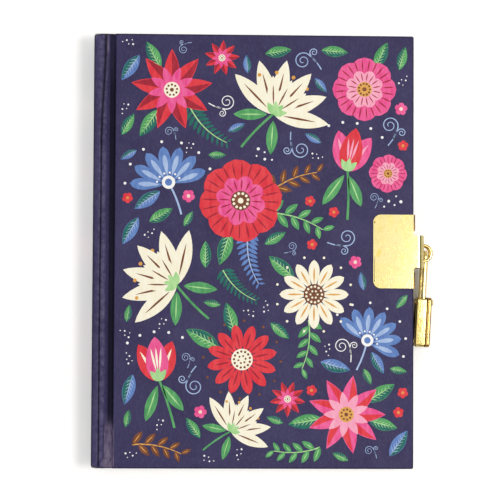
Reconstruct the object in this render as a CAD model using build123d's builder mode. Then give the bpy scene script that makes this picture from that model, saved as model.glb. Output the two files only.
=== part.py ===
from build123d import *
import os
from math import cos, radians, sin, tan

# A case-bound diary lying on its back cover, with a brass clasp and a small padlock.
# X runs from the spine to the fore edge, Y to the head and Z up, in millimetres.
# The origin is the middle of the back cover's outer face.

# Case: boards, printed wrap and spine
cover_width = 148.0
cover_height = 200.0
board_thickness = 2.4
spine_board_thickness = 2.4
wrap_thickness = 0.3
turn_in = 14.0
cover_corner_radius = 0.9
spine_edge_radius = 1.6
joint_width = 8.0
groove_depth = 2.0
groove_floor = 3.0
groove_wall_run = 0.6
groove_radius = 0.8

# Book block
section_count = 7
section_thickness = 1.95
square = 3.0
spine_hollow = 1.4
lining_thickness = 0.4
band_width = 1.8
band_height = 1.2
endpaper_thickness = 0.2
endpaper_margin = 3.0
flyleaf_thickness = 0.25
leaf_gap = 0.1
flyleaf_hinge_gap = 0.2

# Clasp plates and straps, of one brass sheet
sheet = 0.6
plate_width = 18.8
plate_height = 34.0
plate_corner_radius = 3.5
strap_width = 14.9
strap_middle_y = 0.0
relief_notch = 2.2
front_bend_radius = 3.0
back_bend_radius = 2.0
clasp_tilt = 0.0
strap_reach = 5.0
prong_width = 3.0
prong_depth = 1.5
prong_spacing = 24.0
seat_clearance = 0.03

# Wire rings on the straps
wire = 1.4
ring_width = 8.8
ring_projection = 4.6
ring_middle_y = -0.65
ring_head_radius = 1.2
ring_head_thickness = 0.4
strap_end_margin = 1.3
back_ring_height = 11.2

# Padlock
rod = 2.4
leg_spacing = 9.0
bow_radius = 2.2
rod_to_strap = 0.45
rod_to_ring = 0.5
rod_to_front_ring = 0.4
bow_y = -0.3
lock_top = 20.8
lock_turn = 3.0
lock_height = 23.1
lock_width = 16.0
lock_corner_radius = 1.4
case_depth = 5.0
face_depth = 2.3
shell = 0.6
case_edge_radius = 1.1
face_edge_radius = 0.9
pivot_depth = 2.4
pivot_radius = 0.7
pivot_head_radius = 1.4
pivot_head_thickness = 0.9
running_clearance = 0.05
heel_radius = 1.7
heel_thickness = 1.6
opening_angle = 40.0
leg_clearance = 0.15
toe_slot_inside = 0.9
toe_slot_outside = 0.2
toe_depth = 3.0
notch_depth = 0.7
notch_height = 1.2
notch_above_end = 0.4
latch_thickness = 3.4
latch_side_gap = 0.1
latch_bar_length = 4.4
latch_tail_width = 2.6
latch_tail_length = 9.0
latch_post_radius = 0.6
latch_post_depth = 5.0
spring_thickness = 0.2
spring_width = 1.6
spring_length = 5.5
key_post_depth = 14.0
key_post_radius = 0.5
keyhole_radius = 1.1
keyhole_slot_width = 1.0
keyhole_slot_length = 2.6
rivet_radius = 0.6
rivet_head_radius = 1.0
rivet_head_thickness = 0.3
rivet_inset = 2.4

# Heights of the stack, from the table up
back_board_low = wrap_thickness
back_board_high = back_board_low + board_thickness
back_cover_inside = back_board_high + wrap_thickness
back_paper_high = back_cover_inside + endpaper_thickness
block_low = back_paper_high + flyleaf_thickness
block_high = block_low + section_count * section_thickness
flyleaf_low = block_high + leaf_gap
flyleaf_high = flyleaf_low + flyleaf_thickness
front_paper_low = flyleaf_high + leaf_gap
front_cover_inside = front_paper_low + endpaper_thickness
front_board_low = front_cover_inside + wrap_thickness
front_board_high = front_board_low + board_thickness
book_thickness = front_board_high + wrap_thickness

# Places across the book
spine_outer = -cover_width / 2
spine_board_outer = spine_outer + wrap_thickness
spine_board_inner = spine_board_outer + spine_board_thickness
board_left = spine_board_inner + joint_width
fore_edge = cover_width / 2
board_right = fore_edge - wrap_thickness
board_half_height = cover_height / 2 - wrap_thickness
lining_left = spine_board_inner + spine_hollow
page_left = lining_left + lining_thickness
page_right = fore_edge - square
page_half_height = cover_height / 2 - square
groove_right = board_left - wrap_thickness - groove_wall_run
groove_middle = groove_right - groove_floor / 2

# Clasp plane: both straps, both rings and the padlock share its tilt about Y, if they have one
tilt = radians(clasp_tilt)
strap_outer_x = fore_edge + strap_reach
strap_slope = tan(tilt)
clasp_out = Vector(cos(tilt), 0, -sin(tilt))
clasp_up = Vector(sin(tilt), 0, cos(tilt))
strap_point = Vector(strap_outer_x, bow_y, back_ring_height)
bow_point = strap_point + clasp_out * (rod / 2 + rod_to_strap)
upper_leg_rise = wire / 2 + rod_to_ring + rod / 2
front_ring_rise = upper_leg_rise + rod / 2 + rod_to_front_ring + wire / 2

# Padlock plane: turned about the bow, so that the foot comes nearer to the book
turn = radians(lock_turn)
lock_along = Vector(0, -cos(turn), 0) - clasp_out * sin(turn)
lock_outwards = clasp_out * cos(turn) + Vector(0, -sin(turn), 0)
lock_plane = Plane(origin=bow_point, x_dir=lock_along, z_dir=lock_outwards)

# Padlock places on the lock plane: x from the bow to the foot, y downwards, z outwards
upper_leg_y = -upper_leg_rise
lower_leg_y = upper_leg_y + leg_spacing
lock_middle_x = lock_top + lock_height / 2
lock_middle_y = (upper_leg_y + lower_leg_y) / 2
lock_foot = lock_top + lock_height
lock_back = -(case_depth + face_depth) / 2
seam = lock_back + case_depth
lock_front = seam + face_depth
pivot_x = lock_top + pivot_depth
toe_end = lock_top + toe_depth
notch_bottom = toe_end - notch_above_end
notch_top = notch_bottom - notch_height
case_floor = lock_back + shell
face_ceiling = lock_front - shell
latch_low = case_floor + running_clearance
latch_high = latch_low + latch_thickness
latch_travel = notch_depth
slot_half = rod / 2 + leg_clearance


def cover_board(low):
    """One cover board, as a plain slab with its lower face at the given height."""
    with BuildPart() as board:
        with BuildSketch(Plane.XY.offset(low)) as outline:
            with Locations(((board_left + board_right) / 2, 0)):
                Rectangle(board_right - board_left, 2 * board_half_height)
            fillet(outline.vertices().group_by(Axis.X)[-1], radius=cover_corner_radius - wrap_thickness)
        extrude(amount=board_thickness)
    return board.part


def cover_wrap(low, board, window_low):
    """The printed wrap round one board, open at the joint, with its turn-ins inside the cover."""
    with BuildPart() as wrap:
        with BuildSketch(Plane.XY.offset(low)) as outline:
            with Locations(((board_left + fore_edge) / 2, 0)):
                Rectangle(fore_edge - board_left, cover_height)
            fillet(outline.vertices().group_by(Axis.X)[-1], radius=cover_corner_radius)
        extrude(amount=board_thickness + 2 * wrap_thickness)
        add(board, mode=Mode.SUBTRACT)
        with BuildSketch(Plane.XY.offset(window_low)):
            window_right = fore_edge - turn_in
            with Locations(((board_left + window_right) / 2, 0)):
                Rectangle(window_right - board_left, cover_height - 2 * turn_in)
        extrude(amount=wrap_thickness, mode=Mode.SUBTRACT)
    return wrap.part


def pastedown(paper_low, window_low):
    """The endpaper half pasted to a cover, pressed into the window between the turn-ins."""
    with BuildPart() as paper:
        with BuildSketch(Plane.XY.offset(paper_low)):
            paper_right = fore_edge - endpaper_margin
            with Locations(((board_left + paper_right) / 2, 0)):
                Rectangle(paper_right - board_left, cover_height - 2 * endpaper_margin)
        extrude(amount=endpaper_thickness)
        with BuildSketch(Plane.XY.offset(window_low)):
            window_right = fore_edge - turn_in
            with Locations(((board_left + window_right) / 2, 0)):
                Rectangle(window_right - board_left, cover_height - 2 * turn_in)
        extrude(amount=wrap_thickness)
    return paper.part


def joint_strip(outer, inward):
    """The stretch of wrap that dips into the groove between the spine and a board."""
    floor = outer + inward * groove_depth
    under = inward * wrap_thickness
    ridge_end = groove_right - groove_floor - groove_depth
    skew = wrap_thickness / 2
    with BuildPart() as strip:
        with BuildSketch(Plane.XZ.offset(-cover_height / 2)):
            with BuildLine():
                top = FilletPolyline(
                    (spine_board_inner, outer),
                    (ridge_end, outer),
                    (groove_right - groove_floor, floor),
                    (groove_right, floor),
                    (groove_right + groove_wall_run, outer),
                    radius=groove_radius,
                    close=False,
                )
                bottom = FilletPolyline(
                    (spine_board_inner, outer + under),
                    (ridge_end - skew, outer + under),
                    (groove_right - groove_floor - skew, floor + under),
                    (groove_right + wrap_thickness, floor + under),
                    (board_left, outer + under),
                    radius=groove_radius,
                    close=False,
                )
                Line(top @ 0, bottom @ 0)
                Polyline(top @ 1, (board_left, outer), bottom @ 1)
            make_face()
        extrude(amount=cover_height)
    return strip.part


def clasp_plate(outer, inward, fold_depth, bend_radius, strap_end):
    """A clasp plate with its edge folds, relief notches, strap and two prongs."""
    inner = outer + inward * sheet
    plate_left = fore_edge - plate_width
    strap_high = strap_middle_y + strap_width / 2
    strap_low = strap_middle_y - strap_width / 2
    strap_inner_x = strap_outer_x - sheet / cos(tilt)
    end = strap_point + clasp_up * strap_end
    end_inside = end - clasp_out * sheet
    with BuildPart() as plate:
        with BuildSketch(Plane.XY.offset(min(outer, inner))) as outline:
            with Locations(((plate_left + fore_edge) / 2, 0)):
                Rectangle(plate_width, plate_height)
            fillet(outline.vertices().group_by(Axis.X)[0], radius=plate_corner_radius)
        extrude(amount=sheet)
        for fold_low, fold_high in (
            (-plate_height / 2, strap_low - relief_notch),
            (strap_high + relief_notch, plate_height / 2),
        ):
            with BuildSketch(Plane.XZ.offset(-fold_high)) as fold:
                with Locations((fore_edge + sheet / 2, outer + inward * fold_depth / 2)):
                    Rectangle(sheet, fold_depth)
                corner = fold.vertices().sort_by_distance((fore_edge + sheet, outer))[0]
                fillet(corner, radius=sheet * 0.8)
            extrude(amount=fold_high - fold_low)
        with BuildSketch(Plane.XZ.offset(-strap_high)):
            with BuildLine():
                outside = FilletPolyline(
                    (plate_left + plate_width / 2, outer),
                    (strap_outer_x + (outer - back_ring_height) * strap_slope, outer),
                    (end.X, end.Z),
                    radius=bend_radius,
                )
                inside = FilletPolyline(
                    (plate_left + plate_width / 2, inner),
                    (strap_inner_x + (inner - back_ring_height) * strap_slope, inner),
                    (end_inside.X, end_inside.Z),
                    radius=bend_radius - sheet,
                )
                Line(outside @ 0, inside @ 0)
                Line(outside @ 1, inside @ 1)
            make_face()
        extrude(amount=strap_width)
        with BuildSketch(Plane.XY.offset(inner)):
            with Locations((plate_left + sheet / 2, 0)):
                with GridLocations(1, prong_spacing, 1, 2):
                    Rectangle(sheet, prong_width)
        extrude(amount=inward * prong_depth)
    return plate.part


def ring_plane(rise):
    """The plane of a wire ring, square to the straps, at a height above the back ring."""
    return Plane(origin=bow_point + clasp_up * rise, x_dir=clasp_out, z_dir=clasp_up)


def ring_legs():
    """Places of a ring's two legs on its plane, counted along Y from the bow."""
    middle = ring_middle_y - bow_y
    half = (ring_width - wire) / 2
    return middle - half, middle + half


def ring_holes(rise):
    """The two holes that a ring's legs need in its strap."""
    face = -(rod / 2 + rod_to_strap)
    with BuildPart() as holes:
        for leg in ring_legs():
            centre = ring_plane(rise).from_local_coords(Vector(face, leg, 0))
            with BuildSketch(Plane(centre, z_dir=clasp_out)):
                Circle(wire / 2 + seat_clearance)
            extrude(amount=sheet, both=True)
    return holes.part


def wire_ring(rise):
    """A half ring of wire, with its legs through the strap and headed behind it."""
    plane = ring_plane(rise)
    face = -(rod / 2 + rod_to_strap)
    back = face - sheet - ring_head_thickness
    low, high = ring_legs()
    half = (high - low) / 2
    arc_start = face + ring_projection - wire / 2 - half
    with BuildPart() as ring:
        with BuildLine(plane) as path:
            Line((back, low), (arc_start, low))
            ThreePointArc(
                (arc_start, low),
                (arc_start + half, (low + high) / 2),
                (arc_start, high),
            )
            Line((arc_start, high), (back, high))
        with BuildSketch(Plane(path.line @ 0, z_dir=path.line % 0)):
            Circle(wire / 2)
        sweep()
        for leg in (low, high):
            head = Plane(plane.from_local_coords(Vector(back, leg, 0)), z_dir=clasp_out)
            with BuildSketch(head):
                Circle(ring_head_radius)
            extrude(amount=ring_head_thickness)
    return ring.part


def finish(piece, name):
    """Label a piece and write it under its own name."""
    piece.label = name
    export_step(piece, f"parts/{name}.step")


os.makedirs("parts", exist_ok=True)

# Cut-outs that seat the clasp plates: a pocket in the back cover and slots for the prongs
back_clasp = clasp_plate(0, 1, wrap_thickness + board_thickness, back_bend_radius, strap_end_margin)
front_clasp = clasp_plate(
    book_thickness + sheet,
    -1,
    sheet + wrap_thickness + board_thickness,
    front_bend_radius,
    front_ring_rise - strap_end_margin,
)

# Back cover
back_board_slab = cover_board(back_board_low)
back_wrap_slab = cover_wrap(0, back_board_slab, back_board_high)

with BuildPart() as back_board:
    add(back_board_slab)
    add(back_clasp, mode=Mode.SUBTRACT)
finish(back_board.part, "back_board")

with BuildPart() as back_wrap:
    add(back_wrap_slab)
    add(back_clasp, mode=Mode.SUBTRACT)
finish(back_wrap.part, "back_wrap")

finish(pastedown(back_cover_inside, back_board_high), "back_endpaper")

# Spine
with BuildPart() as spine_board:
    with BuildSketch(Plane.XZ.offset(-board_half_height)) as section:
        with Locations(((spine_board_outer + spine_board_inner) / 2, book_thickness / 2)):
            Rectangle(spine_board_thickness, book_thickness - 2 * wrap_thickness)
        fillet(section.vertices().group_by(Axis.X)[0], radius=spine_edge_radius - wrap_thickness)
    extrude(amount=2 * board_half_height)
finish(spine_board.part, "spine_board")

with BuildPart() as spine_wrap:
    with BuildSketch(Plane.XZ.offset(-cover_height / 2)) as section:
        with Locations(((spine_outer + spine_board_inner) / 2, book_thickness / 2)):
            Rectangle(spine_board_inner - spine_outer, book_thickness)
        fillet(section.vertices().group_by(Axis.X)[0], radius=spine_edge_radius)
    extrude(amount=cover_height)
    add(spine_board.part, mode=Mode.SUBTRACT)
finish(spine_wrap.part, "spine_wrap")

finish(joint_strip(0, 1), "back_joint_strip")
finish(joint_strip(book_thickness, -1), "front_joint_strip")

# Book block: sewn sections with round folds at the spine, lining and bands
for index in range(section_count):
    section_low = block_low + index * section_thickness
    with BuildPart() as section:
        with BuildSketch(Plane.XZ.offset(-page_half_height)) as profile:
            with Locations(((page_left + page_right) / 2, section_low + section_thickness / 2)):
                Rectangle(page_right - page_left, section_thickness)
            fillet(profile.vertices().group_by(Axis.X)[0], radius=section_thickness * 0.45)
        extrude(amount=2 * page_half_height)
    finish(section.part, f"page_section_{index + 1}")

with BuildPart() as spine_lining:
    with BuildSketch(Plane.XY.offset(block_low)):
        with Locations((lining_left + lining_thickness / 2, 0)):
            Rectangle(lining_thickness, 2 * page_half_height)
    extrude(amount=block_high - block_low)
finish(spine_lining.part, "spine_lining")

for name, side in (("head_band", 1), ("tail_band", -1)):
    with BuildPart() as band:
        with BuildSketch(Plane.XY.offset(block_low)) as outline:
            with Locations((lining_left + band_width / 2, side * (page_half_height + band_height / 2))):
                Rectangle(band_width, band_height)
            fillet(outline.vertices().group_by(Axis.Y)[-1 if side > 0 else 0], radius=band_height * 0.45)
        extrude(amount=block_high - block_low)
    finish(band.part, name)

with BuildPart() as back_flyleaf:
    with BuildSketch(Plane.XY.offset(back_paper_high)):
        with Locations(((page_left + page_right) / 2, 0)):
            Rectangle(page_right - page_left, 2 * page_half_height)
    extrude(amount=flyleaf_thickness)
finish(back_flyleaf.part, "back_flyleaf")

with BuildPart() as front_flyleaf:
    with BuildSketch(Plane.XY.offset(flyleaf_low)):
        flyleaf_left = groove_middle + flyleaf_hinge_gap
        with Locations(((flyleaf_left + page_right) / 2, 0)):
            Rectangle(page_right - flyleaf_left, 2 * page_half_height)
    extrude(amount=flyleaf_thickness)
finish(front_flyleaf.part, "front_flyleaf")

# Front cover
front_board_slab = cover_board(front_board_low)
front_wrap_slab = cover_wrap(front_cover_inside, front_board_slab, front_cover_inside)

with BuildPart() as front_board:
    add(front_board_slab)
    add(front_clasp, mode=Mode.SUBTRACT)
finish(front_board.part, "front_board")

with BuildPart() as front_wrap:
    add(front_wrap_slab)
    add(front_clasp, mode=Mode.SUBTRACT)
finish(front_wrap.part, "front_wrap")

finish(pastedown(front_paper_low, front_cover_inside), "front_endpaper")

# Clasp plates and rings
with BuildPart() as back_clasp_plate:
    add(back_clasp)
    add(ring_holes(0), mode=Mode.SUBTRACT)
finish(back_clasp_plate.part, "back_clasp_plate")

with BuildPart() as front_clasp_plate:
    add(front_clasp)
    add(ring_holes(front_ring_rise), mode=Mode.SUBTRACT)
finish(front_clasp_plate.part, "front_clasp_plate")

finish(wire_ring(0), "back_ring")
finish(wire_ring(front_ring_rise), "front_ring")

# Shackle: heel with an eye on the upper leg, notched toe on the lower leg
with BuildPart() as shackle:
    with BuildLine(lock_plane) as path:
        FilletPolyline(
            (pivot_x, upper_leg_y),
            (0, upper_leg_y),
            (0, lower_leg_y),
            (toe_end, lower_leg_y),
            radius=bow_radius,
        )
    with BuildSketch(Plane(path.line @ 0, z_dir=path.line % 0)):
        Circle(rod / 2)
    sweep()
    with BuildSketch(lock_plane):
        with Locations((pivot_x, upper_leg_y)):
            Circle(heel_radius)
    extrude(amount=heel_thickness / 2, both=True)
    with BuildSketch(lock_plane):
        with Locations((pivot_x, upper_leg_y)):
            Circle(pivot_radius + running_clearance)
    extrude(amount=rod, both=True, mode=Mode.SUBTRACT)
    with BuildSketch(lock_plane):
        with Locations(((notch_top + notch_bottom) / 2, lower_leg_y - rod / 2)):
            Rectangle(notch_height, 2 * notch_depth)
    extrude(amount=rod, both=True, mode=Mode.SUBTRACT)
finish(shackle.part, "shackle")


def lock_outline(inset):
    """The padlock's rounded outline, drawn smaller by the inset, in the sketch being built."""
    with Locations((lock_middle_x, lock_middle_y)):
        RectangleRounded(
            lock_height - 2 * inset,
            lock_width - 2 * inset,
            lock_corner_radius - inset,
        )


def rivet_places():
    """The two rivets near the padlock's foot, on the lock plane."""
    across = lock_width / 2 - rivet_inset
    return [(lock_foot - rivet_inset, lock_middle_y + side * across) for side in (-1, 1)]


def lock_openings():
    """What the shackle's legs and the rivets take out of the padlock's shells."""
    swing = radians(opening_angle)
    reach = pivot_depth + rod
    lean = Vector(-cos(swing), -sin(swing)) * reach
    side = Vector(sin(swing), -cos(swing)) * slot_half
    toe_low = lower_leg_y - slot_half - toe_slot_inside
    toe_high = lower_leg_y + slot_half + toe_slot_outside
    with BuildPart() as openings:
        with BuildSketch(lock_plane):
            with BuildLine():
                Polyline(
                    (pivot_x, upper_leg_y + slot_half),
                    (pivot_x - reach, upper_leg_y + slot_half),
                    (pivot_x - reach, upper_leg_y - slot_half),
                    (pivot_x + lean.X + side.X, upper_leg_y + lean.Y + side.Y),
                    (pivot_x + side.X, upper_leg_y + side.Y),
                    close=True,
                )
            make_face()
            with Locations((lock_top, (toe_low + toe_high) / 2)):
                Rectangle(2 * shell + rod, toe_high - toe_low)
        extrude(amount=slot_half, both=True)
        with BuildSketch(lock_plane):
            with Locations(*rivet_places()):
                Circle(rivet_radius + seat_clearance)
            with Locations((pivot_x, upper_leg_y)):
                Circle(pivot_radius + seat_clearance)
        extrude(amount=case_depth + face_depth, both=True)
    return openings.part


def keyhole(depth):
    """The keyhole's outline, a round hole with a slot towards the foot, in the sketch being built."""
    with Locations((depth, lock_middle_y)):
        Circle(keyhole_radius)
    with Locations((depth + keyhole_slot_length / 2, lock_middle_y)):
        Rectangle(keyhole_slot_length, keyhole_slot_width)


latch_post_x = notch_top + latch_side_gap + latch_post_depth
latch_tail_y = lower_leg_y - rod / 2 - latch_side_gap - latch_bar_length + latch_tail_width / 2
key_x = lock_top + key_post_depth

# Padlock shells
with BuildPart() as lock_case:
    with BuildSketch(lock_plane.offset(lock_back)):
        lock_outline(0)
    extrude(amount=case_depth)
    outer_face = lock_case.faces().sort_by(Axis(bow_point, lock_outwards))[0]
    fillet(outer_face.edges(), radius=case_edge_radius)
    with BuildSketch(lock_plane.offset(case_floor)):
        lock_outline(shell)
    extrude(amount=case_depth, mode=Mode.SUBTRACT)
    add(lock_openings(), mode=Mode.SUBTRACT)
    with BuildSketch(lock_plane.offset(case_floor)):
        with Locations((latch_post_x, latch_tail_y)):
            Circle(latch_post_radius)
    extrude(amount=latch_thickness + 2 * running_clearance)
finish(lock_case.part, "lock_case")

with BuildPart() as lock_face:
    with BuildSketch(lock_plane.offset(seam)):
        lock_outline(0)
    extrude(amount=face_depth)
    outer_face = lock_face.faces().sort_by(Axis(bow_point, lock_outwards))[-1]
    fillet(outer_face.edges(), radius=face_edge_radius)
    with BuildSketch(lock_plane.offset(seam)):
        lock_outline(shell)
    extrude(amount=face_depth - shell, mode=Mode.SUBTRACT)
    add(lock_openings(), mode=Mode.SUBTRACT)
    with BuildSketch(lock_plane.offset(seam)):
        keyhole(key_x)
    extrude(amount=face_depth, mode=Mode.SUBTRACT)
finish(lock_face.part, "lock_face")

# Rivets and key post
with BuildPart() as pivot_rivet:
    with BuildSketch(lock_plane.offset(lock_back - rivet_head_thickness)):
        with Locations((pivot_x, upper_leg_y)):
            Circle(rivet_head_radius)
    extrude(amount=rivet_head_thickness)
    with BuildSketch(lock_plane.offset(lock_back)):
        with Locations((pivot_x, upper_leg_y)):
            Circle(pivot_radius)
    extrude(amount=lock_front - lock_back)
    with BuildSketch(lock_plane.offset(lock_front)):
        with Locations((pivot_x, upper_leg_y)):
            Circle(pivot_head_radius)
    extrude(amount=pivot_head_thickness)
    head = pivot_rivet.faces().sort_by(Axis(bow_point, lock_outwards))[-1]
    fillet(head.edges(), radius=pivot_head_thickness / 2)
finish(pivot_rivet.part, "pivot_rivet")

with BuildPart() as case_rivets:
    with BuildSketch(lock_plane.offset(lock_back - rivet_head_thickness)):
        with Locations(*rivet_places()):
            Circle(rivet_head_radius)
    extrude(amount=rivet_head_thickness)
    with BuildSketch(lock_plane.offset(lock_back)):
        with Locations(*rivet_places()):
            Circle(rivet_radius)
    extrude(amount=lock_front - lock_back)
    with BuildSketch(lock_plane.offset(lock_front)):
        with Locations(*rivet_places()):
            Circle(rivet_head_radius)
    extrude(amount=rivet_head_thickness)
finish(case_rivets.part, "case_rivets")

with BuildPart() as key_post:
    with BuildSketch(lock_plane.offset(case_floor)):
        with Locations((key_x, lock_middle_y)):
            Circle(key_post_radius)
    extrude(amount=lock_front - case_floor)
finish(key_post.part, "key_post")

# Latch, drawn back at rest, and the friction spring that presses it on the case floor
with BuildPart() as latch:
    bar_right = lower_leg_y - rod / 2 - latch_side_gap
    bar_left = bar_right - latch_bar_length
    bar_top = notch_top + latch_side_gap
    bar_bottom = notch_bottom - latch_side_gap
    with BuildSketch(lock_plane.offset(latch_low)):
        with Locations(((bar_top + bar_bottom) / 2, (bar_left + bar_right) / 2)):
            Rectangle(bar_bottom - bar_top, latch_bar_length)
        with Locations((bar_top + latch_tail_length / 2, latch_tail_y)):
            Rectangle(latch_tail_length, latch_tail_width)
        with Locations((latch_post_x, latch_tail_y - latch_travel / 2)):
            SlotCenterToCenter(
                latch_travel,
                2 * (latch_post_radius + running_clearance),
                rotation=90,
                mode=Mode.SUBTRACT,
            )
    extrude(amount=latch_thickness)
finish(latch.part, "latch")

with BuildPart() as latch_spring:
    spring_plane = Plane(
        lock_plane.from_local_coords(Vector(0, latch_tail_y - spring_width / 2, 0)),
        x_dir=lock_plane.x_dir,
        z_dir=lock_plane.y_dir,
    )
    spring_start = latch_post_x + latch_post_radius
    spring_end = spring_start + spring_length
    spring_middle = (spring_start + spring_end) / 2
    spring_foot = latch_high + running_clearance
    with BuildSketch(spring_plane):
        with BuildLine():
            upper = ThreePointArc(
                (spring_start, -face_ceiling + spring_thickness),
                (spring_middle, -spring_foot),
                (spring_end, -face_ceiling + spring_thickness),
            )
            lower = ThreePointArc(
                (spring_start, -face_ceiling),
                (spring_middle, -spring_foot - spring_thickness),
                (spring_end, -face_ceiling),
            )
            Line(upper @ 0, lower @ 0)
            Line(upper @ 1, lower @ 1)
        make_face()
    extrude(amount=spring_width)
finish(latch_spring.part, "latch_spring")
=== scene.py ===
"""Looks of a lockable hard-cover diary: printed cover, page block, brass clasp and padlock."""

import bmesh
import bpy
import math
import random
from mathutils import Euler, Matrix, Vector
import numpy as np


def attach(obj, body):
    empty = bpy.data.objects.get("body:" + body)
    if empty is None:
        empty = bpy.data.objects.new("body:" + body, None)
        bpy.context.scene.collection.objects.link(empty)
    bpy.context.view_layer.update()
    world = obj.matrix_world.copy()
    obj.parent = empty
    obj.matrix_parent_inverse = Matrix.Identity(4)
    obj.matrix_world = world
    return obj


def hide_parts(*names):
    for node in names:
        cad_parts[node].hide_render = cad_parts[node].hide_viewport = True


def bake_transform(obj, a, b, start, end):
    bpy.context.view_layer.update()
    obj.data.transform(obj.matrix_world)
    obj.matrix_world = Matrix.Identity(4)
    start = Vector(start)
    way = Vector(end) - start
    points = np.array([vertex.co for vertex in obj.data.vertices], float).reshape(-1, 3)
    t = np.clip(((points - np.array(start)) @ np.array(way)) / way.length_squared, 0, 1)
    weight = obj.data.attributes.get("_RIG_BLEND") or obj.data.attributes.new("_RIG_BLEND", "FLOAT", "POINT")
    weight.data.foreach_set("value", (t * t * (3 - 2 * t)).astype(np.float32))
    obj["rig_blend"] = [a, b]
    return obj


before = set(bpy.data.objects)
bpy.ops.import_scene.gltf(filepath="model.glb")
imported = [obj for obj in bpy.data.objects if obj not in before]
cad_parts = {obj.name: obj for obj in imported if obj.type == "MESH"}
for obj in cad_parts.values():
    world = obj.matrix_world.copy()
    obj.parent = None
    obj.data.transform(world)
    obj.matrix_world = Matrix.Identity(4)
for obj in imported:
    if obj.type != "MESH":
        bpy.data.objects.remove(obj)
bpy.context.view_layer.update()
scene = bpy.context.scene

# All lengths below are in millimetres, in the shared frame, and are scaled on the way into a mesh.
MM = 0.001
SPINE_OUTER, SPINE_INNER = -74.0, -71.3
BOARD_LEFT, FORE_EDGE = -63.3, 74.0
HALF_HEIGHT = 100.0
COVER_TOP, COVER_INSIDE, BACK_INSIDE = 20.75, 17.75, 3.0
SOFT_EDGE, SPINE_EDGE = 0.9, 1.5
COVER_CORNER, SPINE_CORNER = 0.9, 1.9
WRAP_SHEET = 0.3
GROOVE_DEPTH = 2.0
PAGE_LEFT, PAGE_RIGHT, PAGE_HALF = -69.5, 71.0, 97.0
BLOCK_LOW, BLOCK_HIGH = 3.45, 17.1
LEAF_COUNT = 98
FREE_LEAF_TOP, PASTED_LEAF_TOP = 17.4, 17.73
PLATE_TOP = 21.3
LOCK_OUTWARDS = (0.998630, -0.052336, 0.0)
LOCK_SEAM, LOCK_MIDDLE, LOCK_LEVEL = 81.905, 28.43, 9.1
SIDEWAYS, UPWARDS, RISING = (1, 0, 0), (0, 1, 0), (0, 0, 1)


def rise(value, start, run):
    """A smooth step from 0 to 1 that begins at a start and takes a run."""
    share = min(max((value - start) / run, 0.0), 1.0)
    return share * share * (3 - 2 * share)


def bell(value, middle, width):
    """1 at the middle, falling off smoothly to both sides."""
    return math.exp(-((value - middle) / width) ** 2)


# Node helpers

def add_node(tree, kind, inputs=None, **settings):
    """A node with its settings, and with each input linked or set."""
    made = tree.nodes.new(kind)
    for key, value in settings.items():
        setattr(made, key, value)
    for key, value in (inputs or {}).items():
        if isinstance(value, bpy.types.NodeSocket):
            tree.links.new(value, made.inputs[key])
        else:
            made.inputs[key].default_value = value
    return made


def node_out(tree, kind, inputs=None, **settings):
    """The first output of a new node."""
    return add_node(tree, kind, inputs, **settings).outputs[0]


def calculate(tree, operation, first, second=0.0):
    return node_out(tree, "ShaderNodeMath", {0: first, 1: second}, operation=operation)


def multiply(tree, first, second):
    return calculate(tree, "MULTIPLY", first, second)


def combine(tree, **parts):
    return node_out(tree, "ShaderNodeCombineXYZ", parts)


def distance_from(tree, vector, direction, offset=0.0):
    """How far a vector reaches along a direction from an offset, to either side."""
    reach = add_node(tree, "ShaderNodeVectorMath", {0: vector, 1: direction}, operation="DOT_PRODUCT")
    return calculate(tree, "ABSOLUTE", calculate(tree, "SUBTRACT", reach.outputs["Value"], offset))


def new_tree(name, **sockets):
    """A Geometry Nodes tree with a shape and named values as its inputs, and those inputs."""
    tree = bpy.data.node_groups.new(name, "GeometryNodeTree")
    for label, kind in {"Geometry": "Geometry", **sockets}.items():
        tree.interface.new_socket(label, in_out="INPUT", socket_type="NodeSocket" + kind)
    tree.interface.new_socket("Geometry", in_out="OUTPUT", socket_type="NodeSocketGeometry")
    return tree, tree.nodes.new("NodeGroupInput").outputs


def geometry(tree, step, **inputs):
    """The result of one Geometry Nodes step."""
    return node_out(tree, "GeometryNode" + step, inputs)


def finish_tree(tree, instances, material):
    """Make instances real, paint them and hand them out."""
    whole = geometry(tree, "RealizeInstances", Geometry=instances)
    add_node(tree, "NodeGroupOutput", {0: geometry(tree, "SetMaterial", Geometry=whole, Material=material)})
    return tree


# Materials

def new_material(name, **sockets):
    """A material, its tree and its shader, with constant values set on the shader."""
    material = bpy.data.materials.new(name)
    material.use_nodes = True
    shader = material.node_tree.nodes["Principled BSDF"]
    for key, value in sockets.items():
        shader.inputs[key.replace("_", " ")].default_value = value
    return material, material.node_tree, shader


def feed(tree, shader, **sockets):
    for key, value in sockets.items():
        tree.links.new(value, shader.inputs[key.replace("_", " ")])


def place(tree, scale=(1, 1, 1), turn=0.0):
    """Object coordinates in metres, stretched and turned."""
    where = add_node(tree, "ShaderNodeTexCoord").outputs["Object"]
    return node_out(tree, "ShaderNodeMapping", {"Vector": where, "Scale": scale, "Rotation": (0, 0, turn)})


def noise(tree, vector, scale, detail=3.0, roughness=0.55):
    return node_out(tree, "ShaderNodeTexNoise", {
        "Vector": vector, "Scale": scale, "Detail": detail, "Roughness": roughness})


def waves(tree, axis, scale, distortion=0.0):
    return add_node(tree, "ShaderNodeTexWave", {
        "Vector": place(tree), "Scale": scale, "Distortion": distortion}, bands_direction=axis).outputs["Fac"]


def span(tree, value, low, high, out_low=0.0, out_high=1.0):
    return node_out(tree, "ShaderNodeMapRange", {
        "Value": value, "From Min": low, "From Max": high, "To Min": out_low, "To Max": out_high})


def painted_factor(tree, name):
    """A factor that the piece carries on its points."""
    return add_node(tree, "ShaderNodeAttribute", attribute_name=name).outputs["Fac"]


def linear(values):
    """A colour given as 0 to 255 display values."""
    return (*((c / 255 / 12.92) if c < 10 else ((c / 255 + 0.055) / 1.055) ** 2.4 for c in values), 1)


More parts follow.
